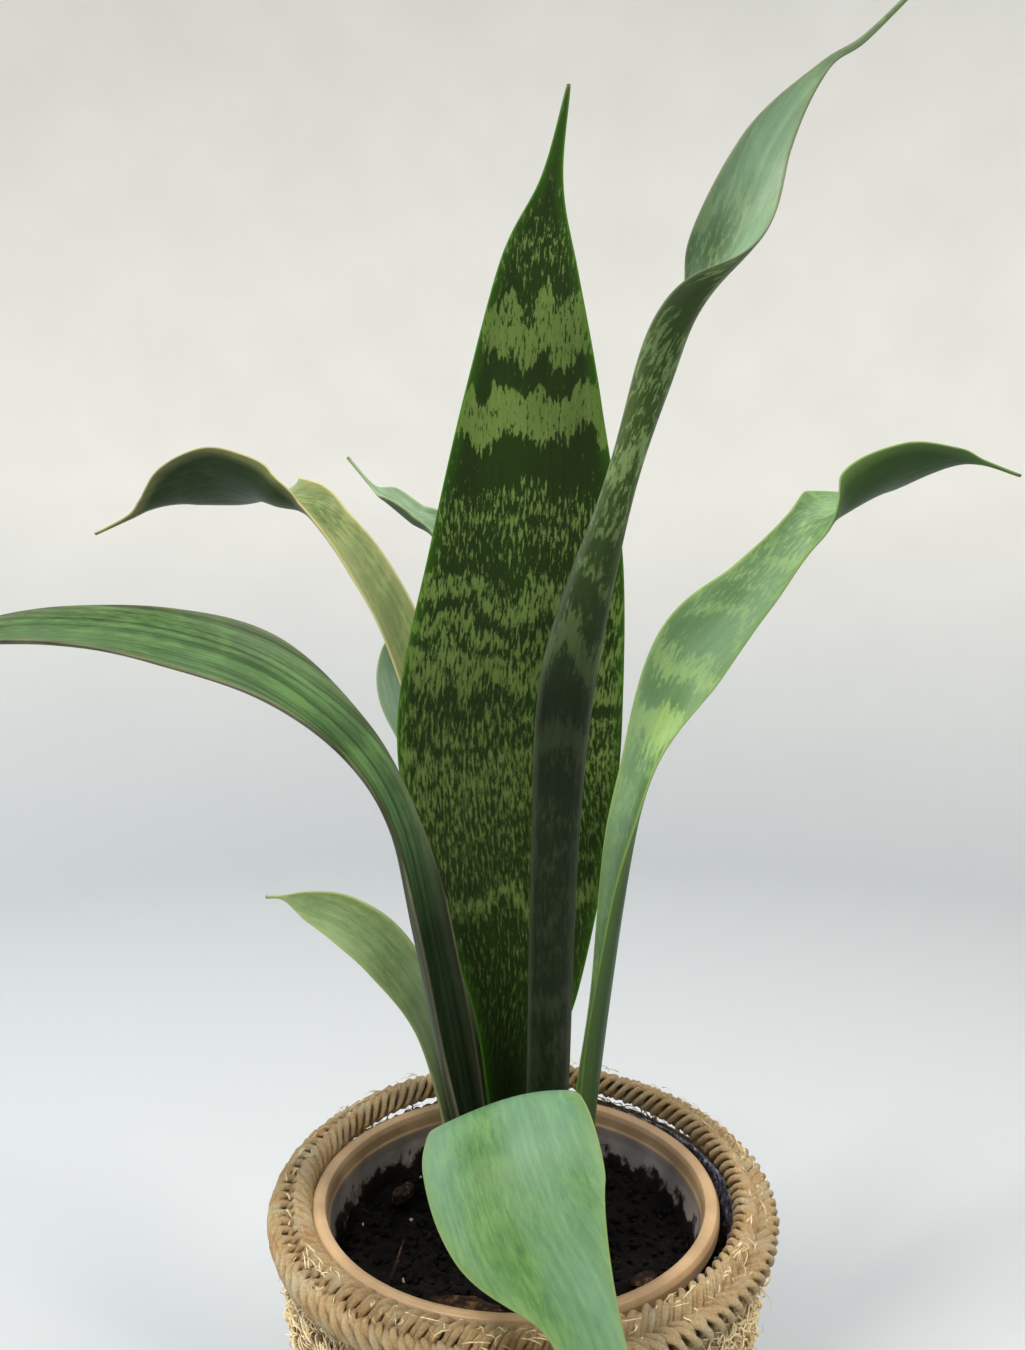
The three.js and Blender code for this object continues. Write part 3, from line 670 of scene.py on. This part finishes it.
def leaf_mesh(name, rows, ripple):
    """A blade bent along its stations. Its UV map "blade" is millimetres across and up the blade."""
    half = length = side = None

    def bend(u, v, through):
        nonlocal half, length, side
        s = np.sin((u - 0.5) * math.pi)  # columns close up towards the margins
        here = station(rows, v)
        midrib = here[:, :3]
        along = unit(station(rows, v + 0.001)[:, :3] - station(rows, v - 0.001)[:, :3])
        turn, tilt, curl = np.radians(here[:, 4:]).T
        across = np.stack([np.cos(tilt) * np.cos(turn), np.cos(tilt) * np.sin(turn), np.sin(tilt)], 1)
        across = unit(across - (across * along).sum(1)[:, None] * along)
        facing = np.cross(across, along)
        half = np.maximum(here[:, 3], 0.5)
        radius = half / (curl / 2)
        thick = LEAF_THICKNESS * (0.4 + 0.6 * np.minimum(1, half / 8)) * (1 - 0.55 * s ** 2)
        depth = through * thick * np.sqrt(np.maximum(1 - np.abs(s) ** 24, 0.02))
        reach = radius - depth
        line = np.linspace(0, 1, 400)
        steps = np.linalg.norm(np.diff(station(rows, line)[:, :3], axis=0), axis=1)
        length = np.interp(v, line, np.concatenate([[0], np.cumsum(steps)]))
        wave = ripple * s ** 2 * np.sin(length / 11 + 2 * s) * np.clip(half / 12, 0, 1)
        angle = s * curl / 2
        side = np.sign(through)
        half = np.stack([s * half, half * (1 - np.abs(s))], 1)
        return midrib + (reach * np.sin(angle))[:, None] * across \
            + (radius - reach * np.cos(angle) + wave)[:, None] * facing

    mesh = bent_grid(name, LEAF_COLUMNS, LEAF_ROWS, bend, thickness=1.0)
    corners = np.empty(len(mesh.loops), int)
    mesh.loops.foreach_get("vertex_index", corners)
    layer = mesh.uv_layers.new(name="blade")
    layer.data.foreach_set("uv", np.stack([half[corners, 0], length[corners]], 1).ravel())
    for attribute, values in (("inner", (side + 1) / 2), ("margin", half[:, 1])):
        made = mesh.attributes.new(attribute, "FLOAT", "POINT")
        made.data.foreach_set("value", values.astype(np.float32))
    bm = bmesh.new()
    bm.from_mesh(mesh)
    if bm.calc_volume(signed=True) < 0:
        bmesh.ops.reverse_faces(bm, faces=bm.faces)
    bm.to_mesh(mesh)
    bm.free()
    return mesh


# Leaf skin: a waxy cuticle over dark green, crossed by paler bands that break up into short
# upright streaks, with painted sheen on its inner face and painted shade on its outer face and foot.
# It has a satin gloss, faint lengthwise ribs, and a pale line at the margin that is partly a painted
# highlight along its lit edge.
DRY_TIP = 0.985  # share of the leaf's length where its spike turns brown
ZIGZAG = 24  # millimetres that the bands swing up and down in wide zigzags
JAGS = 8  # and in narrow jags
BAND_SPACING = 13
BAND_SCALE = 400  # millimetres of blade that known bands are given over


def leaf_skin(name, ground, deep, light, margin, wax_and_sheen, foot, seed, cover, soft, wax_and_sheen_share, reach, outer_plain_and_shaded,
              fluted, marks=None):
    """A leaf's material. LEAF_LOOKS says what each value is; marks are a leaf's bands if known."""
    material, tree = new_material("waxy_skin_" + name)
    blade = add(tree, "UVMap", uv_map="blade")
    ends = add(tree, "UVMap", uv_map="flat")
    inner = add(tree, "Attribute", attribute_name="inner", out="Fac")
    edge = add(tree, "Attribute", attribute_name="margin", out="Fac")
    along = add(tree, "SeparateXYZ", {"Vector": blade}, out="Y")

    def pattern(wide, tall, detail, shift, roughness=0.5):
        """Noise stretched to grains of a width and a height in millimetres."""
        place = (seed + shift, seed * 1.7 + shift, seed)
        scaled = add(tree, "Mapping", {"Vector": blade, "Location": place, "Scale": (1 / wide, 1 / tall, 1)})
        return add(tree, "TexNoise", {"Vector": scaled, "Scale": 1, "Detail": detail,
                                      "Roughness": roughness}, noise_dimensions="2D")

    def blend(share, below, above):
        """One colour laid over another."""
        return add(tree, "Mix", {0: share, 6: below, 7: above}, out=2, data_type="RGBA")

    def ramp(value, start, end, low, high):
        """A value that goes from low to high while another goes from start to end."""
        return add(tree, "MapRange", {"Value": value, "From Min": start, "From Max": end,
                                      "To Min": low, "To Max": high})

    def combine(operation, *values):
        """Two or three values put together by one sum."""
        return add(tree, "Math", dict(enumerate(values)), operation=operation)

    zigzag = pattern(10, 40, 1, 3)
    jags = pattern(1.6, 16, 1, 11)
    streak = pattern(0.9, 4.0, 3, 23, 0.65)
    shade = pattern(22, 60, 2, 37)

    # Bands: where the swung height falls between them, broken up by the streaks.
    swung = combine("MULTIPLY_ADD", zigzag, ZIGZAG, along)
    swung = combine("MULTIPLY_ADD", jags, JAGS, swung)
    if marks:
        level = combine("SUBTRACT", swung, (ZIGZAG + JAGS) / 2)
        level = combine("DIVIDE", level, BAND_SCALE)
        stops = [(height / BAND_SCALE, paleness) for height, paleness in marks]
        band = ramp(add(tree, "ValToRGB", {"Fac": level}, stops=stops), 0, 1, 0.30, 0.71)
    else:
        level = combine("MULTIPLY", swung, 1 / BAND_SPACING)
        band = add(tree, "TexNoise", {"W": level, "Scale": 1, "Detail": 1}, noise_dimensions="1D")
    broken = combine("MULTIPLY_ADD", streak, 1.0, band)
    spread = ramp(along, 60, 220, soft + 0.11, soft)
    first = combine("SUBTRACT", 1.05 - cover, spread)
    last = combine("ADD", 1.05 - cover, spread)
    mask = ramp(broken, first, last, 0, 0.88)
    mask = combine("MULTIPLY", mask, ramp(inner, 0, 1, 1 - outer_plain_and_shaded, 1))

    # Greens: ground, bands, wax bloom with painted sheen on the inner face, then painted shade on the
    # outer face and foot.
    paler = blend(ramp(shade, 0.35, 0.7, 0, 0.35), srgb(light), srgb(ground))
    colour = blend(mask, blend(shade, srgb(ground), srgb(deep)), paler)
    # Painted sheen: the wax green laid over the inner face also stands for its sheen.
    wax_and_sheen_veil = combine("MULTIPLY", ramp(shade, 0.3, 0.6, 0.25 * wax_and_sheen_share, wax_and_sheen_share), inner)
    colour = blend(wax_and_sheen_veil, colour, srgb(wax_and_sheen))
    # Painted shade: the outer face and the foot are darkened towards the foot green.
    shaded = combine("MULTIPLY", ramp(inner, 0, 1, 0.75, 0), outer_plain_and_shaded)
    shaded = combine("MAXIMUM", shaded, ramp(along, reach, reach * 0.7, 0, 0.88))
    colour = blend(shaded, colour, srgb(foot))

    # Edges: a soft painted highlight near the margin for its lit edge, its horny line, partly real and
    # partly painted highlight, the dry spike, and faint lengthwise ribs.
    # Painted highlight: a soft glow of the margin colour along the edge; the thin line is partly real margin
    # and partly painted highlight.
    painted_edge_glow = blend(0.5, colour, srgb(margin))
    colour = blend(ramp(edge, 4, 0.5, 0, 0.5), colour, painted_edge_glow)
    colour = blend(ramp(edge, 0.6, 0.25, 0, 0.8), colour, srgb(margin))
    tip = add(tree, "SeparateXYZ", {"Vector": ends}, out="Y")
    colour = blend(ramp(tip, DRY_TIP, 1.0, 0, 0.7), colour, srgb("#5a4c34"))
    ribs = pattern(1.6, 160, 2, 51)
    flutes = ramp(ribs, 0.3, 0.7, 1 - fluted, 1 + fluted)
    colour = add(tree, "VectorMath", {0: colour, "Scale": flutes}, operation="SCALE")
    relief = combine("MULTIPLY_ADD", ribs, 1.4, streak)
    bumped = add(tree, "Bump", {"Strength": 0.3, "Distance": 0.25 * MM, "Height": relief})
    gloss = ramp(streak, 0, 1, 0.3, 0.5)
    surface(tree, {"Base Color": colour, "Roughness": gloss, "Normal": bumped,
                   "Specular IOR Level": 0.12})
    return material


# Each leaf's own look. ground and deep are its dark greens and light is its band's; the next three
# are the greens of its margin, partly a painted edge highlight, of its wax with painted sheen, and of
# the painted shade at its foot. seed picks its pattern. cover is how much more of it is banded, soft
# how soft the bands are, then how strong the wax and painted sheen are, reach how far up the foot's
# painted shade goes in millimetres, then how plain its outer face is and how dark its painted shade,
# and fluted how ribbed.
LEAF_LOOKS = {
    "leaf_centre": dict(
        ground="#1c3008", deep="#132207", light="#5e743a", margin="#3c6a14", wax_and_sheen="#6f8c58",
        foot="#14240c", seed=4, cover=0.0, soft=0.045, wax_and_sheen_share=0.0, reach=75, outer_plain_and_shaded=0.0, fluted=0.08),
    "leaf_tall_right": dict(
        ground="#3c5224", deep="#293b1a", light="#728a56", margin="#6f7a5c", wax_and_sheen="#7b9a7e",
        foot="#0b120a", seed=9, cover=-0.03, soft=0.07, wax_and_sheen_share=0.85, reach=240, outer_plain_and_shaded=0.0, fluted=0.10),
    "leaf_right": dict(
        ground="#44682f", deep="#365a2e", light="#86a558", margin="#7d9a58", wax_and_sheen="#86a686",
        foot="#26381c", seed=15, cover=-0.02, soft=0.10, wax_and_sheen_share=0.55, reach=60, outer_plain_and_shaded=0.95, fluted=0.06),
    "leaf_left_arch": dict(
        ground="#2a441e", deep="#1b3012", light="#4a6a36", margin="#5c5a48", wax_and_sheen="#5c7a56",
        foot="#101c0d", seed=22, cover=0.0, soft=0.2, wax_and_sheen_share=0.45, reach=150, outer_plain_and_shaded=0.5, fluted=0.42),
    "leaf_back_left": dict(
        ground="#384e24", deep="#253b18", light="#7f8d54", margin="#bdb884", wax_and_sheen="#8c9c6a",
        foot="#1c2c14", seed=28, cover=0.0, soft=0.15, wax_and_sheen_share=0.7, reach=80, outer_plain_and_shaded=0.8, fluted=0.12),
    "leaf_back_twist": dict(
        ground="#385a34", deep="#24421f", light="#6c8c62", margin="#8fa67c", wax_and_sheen="#8ba690",
        foot="#1c2c18", seed=33, cover=0.0, soft=0.15, wax_and_sheen_share=0.6, reach=60, outer_plain_and_shaded=0.8, fluted=0.10),
    "leaf_low_left": dict(
        ground="#48682e", deep="#3b5a26", light="#7f965c", margin="#98a870", wax_and_sheen="#8a9f78",
        foot="#20331a", seed=41, cover=-0.02, soft=0.2, wax_and_sheen_share=0.7, reach=60, outer_plain_and_shaded=0.4, fluted=0.10),
    "leaf_front": dict(
        ground="#386020", deep="#2c4f1a", light="#5f873c", margin="#7d9456", wax_and_sheen="#789c88",
        foot="#2c4a1c", seed=47, cover=-0.02, soft=0.22, wax_and_sheen_share=0.55, reach=45, outer_plain_and_shaded=0.0, fluted=0.07),
}

# The centre leaf's bands from its foot up: millimetres along the blade, and how pale it is there.
CENTRE_BANDS = (
    (0, "#909090"), (60, "#8c8c8c"), (98, "#808080"), (104, "#e0e0e0"), (111, "#909090"),
    (130, "#b0b0b0"), (149, "#d0d0d0"), (154, "#909090"), (159, "#d0d0d0"), (167, "#808080"),
    (172, "#e6e6e6"), (178, "#d8d8d8"), (181, "#a0a0a0"), (186, "#ececec"), (191, "#606060"),
    (196, "#e8e8e8"), (202, "#c8c8c8"), (208, "#808080"), (218, "#b8b8b8"), (229, "#bcbcbc"),
    (235, "#404040"), (245, "#303030"), (250, "#f6f6f6"), (262, "#f6f6f6"), (266, "#303030"),
    (272, "#303030"), (277, "#f0f0f0"), (287, "#ececec"), (291, "#787878"), (303, "#c0c0c0"),
    (315, "#808080"), (340, "#404040"),
)
for name, rows in LEAVES.items():
    marks = CENTRE_BANDS if name == "leaf_centre" else None
    skin = leaf_skin(name, marks=marks, **LEAF_LOOKS[name])
    piece(name + "_blade", leaf_mesh(name + "_blade", rows, LEAF_RIPPLE), skin, "leaf", "plant", name)


# Bark chips and a splinter: pieces of composted pine bark from the mix, lying on the soil.
CHIPS = {  # length, width and turn of each
    "bark_chip_front": (19, 6, -12),
    "bark_chip_left": (9, 5, 60),
    "bark_chip_right": (8, 4.5, 35),
}
CHIP_THICKNESS = 2.2
SPLINTER_THICKNESS = 1.5


def flake(name, seed):
    """A flake of bark one unit long, wide and thick, uneven and split at its ends."""
    bm = bmesh.new()
    bmesh.ops.create_cube(bm, size=1)
    bmesh.ops.subdivide_edges(bm, edges=bm.edges[:], cuts=9, use_grid_fill=True)
    for vert in bm.verts:
        x, y, z = vert.co
        torn = 1 - 0.45 * abs(2 * x) ** 2 + 0.25 * noise.noise(Vector((x * 4, y * 2, seed)))
        ridge = 0.35 * noise.noise(Vector((x * 3, y * 14, seed + z)))
        split_end = 1 + 0.2 * noise.noise(Vector((y * 9, z * 3, seed)))
        vert.co = (x * split_end, y * torn, z + ridge)
    mesh = bpy.data.meshes.new(name)
    bm.to_mesh(mesh)
    bm.free()
    return mesh


# Pine bark: corky plates in rust and dark brown, matt, split along the grain.
bark, tree = new_material("composted_pine_bark")
place = add(tree, "TexCoord", out="Object")
plate = add(tree, "TexNoise", {"Vector": place, "Scale": 1 / (2.5 * MM), "Detail": 4, "Roughness": 0.7})
colour = add(tree, "ValToRGB", {"Fac": plate},
             stops=((0.3, "#0d0906"), (0.52, "#2a1c14"), (0.75, "#6e5438")))
bumped = add(tree, "Bump", {"Strength": 0.9, "Distance": 0.6 * MM, "Height": plate})
surface(tree, {"Base Color": colour, "Roughness": 0.9, "Normal": bumped, "Specular IOR Level": 0.2})

for seed, (node, (length, width, turn)) in enumerate(CHIPS.items()):
    low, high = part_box(node)
    mesh = flake(node + "_flake", seed * 5.3)
    mesh.transform(Matrix.Translation((low + high) / 2) @ Matrix.Rotation(math.radians(turn), 4, "Z")
                   @ Matrix.Diagonal((length * MM, width * MM, CHIP_THICKNESS * MM, 1)))
    piece(node + "_flake", mesh, bark, "bark", "plant", node)

low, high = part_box("dry_twig")
foot = np.array([low.x, low.y, low.z]) / MM + 0.8
head = np.array([high.x, high.y, high.z]) / MM - 0.8
share = np.linspace(0, 1, 9)[:, None]
splinter = foot + (head - foot) * share + 0.12 * np.sin(share * 5) * np.array([1, -0.6, 0])
splinter = np.c_[splinter, np.interp(share[:, 0], (0, 0.3, 1), (0.8, 1, 0.25))]
twig = strands("dry_twig_splinter", [splinter], SPLINTER_THICKNESS)
piece("dry_twig_splinter", twig, bark, "bark", "plant", "dry_twig")


# Studio: a pale matt bowl that is floor and backdrop in one, with painted shade darkening its floor,
# two high soft lamps to the left and right of the front, and a cooler window light from the left.
FLOOR_RADIUS = 0.9
BOWL_RADIUS = 1.5
BOWL_HEIGHT = 1.7
SWEEP_HEIGHT = BOWL_HEIGHT * 0.45
bm = bmesh.new()
curve = [(FLOOR_RADIUS + (BOWL_RADIUS - FLOOR_RADIUS) * math.sin(a), SWEEP_HEIGHT * (1 - math.cos(a)))
         for a in np.linspace(0, math.pi / 2, 12)]
outline = [(0, 0), *curve, (BOWL_RADIUS, BOWL_HEIGHT)]
points = [bm.verts.new((r, 0, z)) for r, z in outline]
for pair in zip(points, points[1:]):
    bm.edges.new(pair)
bmesh.ops.spin(bm, geom=bm.verts[:] + bm.edges[:], axis=(0, 0, 1), cent=(0, 0, 0),
               angle=2 * math.pi, steps=96, use_merge=True)
bmesh.ops.remove_doubles(bm, verts=bm.verts, dist=1e-6)
mesh = bpy.data.meshes.new("studio_bowl")
bm.to_mesh(mesh)
bm.free()
mesh.shade_smooth()
bowl = bpy.data.objects.new("studio_bowl", mesh)
scene.collection.objects.link(bowl)
bowl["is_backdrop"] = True
paper, tree = new_material("matt_backdrop_paper")
place = add(tree, "TexCoord", out="Object")
tooth = add(tree, "TexNoise", {"Vector": place, "Scale": 8, "Detail": 2})
colour = add(tree, "ValToRGB", {"Fac": tooth}, stops=((0.3, "#eeeeea"), (0.7, "#f3f3ef")))
# Painted shade: the paper turns a darker blue-grey towards the floor, holding back the lamps' light there.
rise = add(tree, "SeparateXYZ", {"Vector": place}, out="Z")
floor_painted_shade = add(tree, "MapRange", {"Value": rise, "From Min": 0.0, "From Max": 0.5,
                                    "To Min": 1.0, "To Max": 0.0})
colour = add(tree, "Mix", {0: floor_painted_shade, 6: colour, 7: srgb("#c3c9cf")}, out=2, data_type="RGBA")
surface(tree, {"Base Color": colour, "Roughness": 0.9, "Specular IOR Level": 0.1})
mesh.materials.append(paper)

world = bpy.data.worlds.new("studio_air")
scene.world = world
world.use_nodes = True
air = world.node_tree.nodes["Background"]
air.inputs["Color"].default_value = srgb("#f6f6f6")
air.inputs["Strength"].default_value = 0.64


def lamp(name, where, aim, size, power, code):
    """A square soft light at a place, turned to a point."""
    light = bpy.data.lights.new(name, "AREA")
    light.size = size
    light.energy = power
    light.color = srgb(code)[:3]
    made = bpy.data.objects.new(name, light)
    made.location = where
    made.rotation_euler = (Vector(aim) - Vector(where)).to_track_quat("-Z", "Y").to_euler()
    scene.collection.objects.link(made)


lamp("lamp_front_left", (-0.4, -0.35, 1.15), (0, 0, 0.2), 0.2, 10, "#fff8ea")
lamp("lamp_front_right", (0.45, -0.25, 1.1), (0, 0, 0.15), 0.25, 6, "#fff4e4")
lamp("window_left", (-1.1, 0.3, 0.9), (0, 0, 0.25), 0.7, 4, "#dfeaff")

low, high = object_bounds()
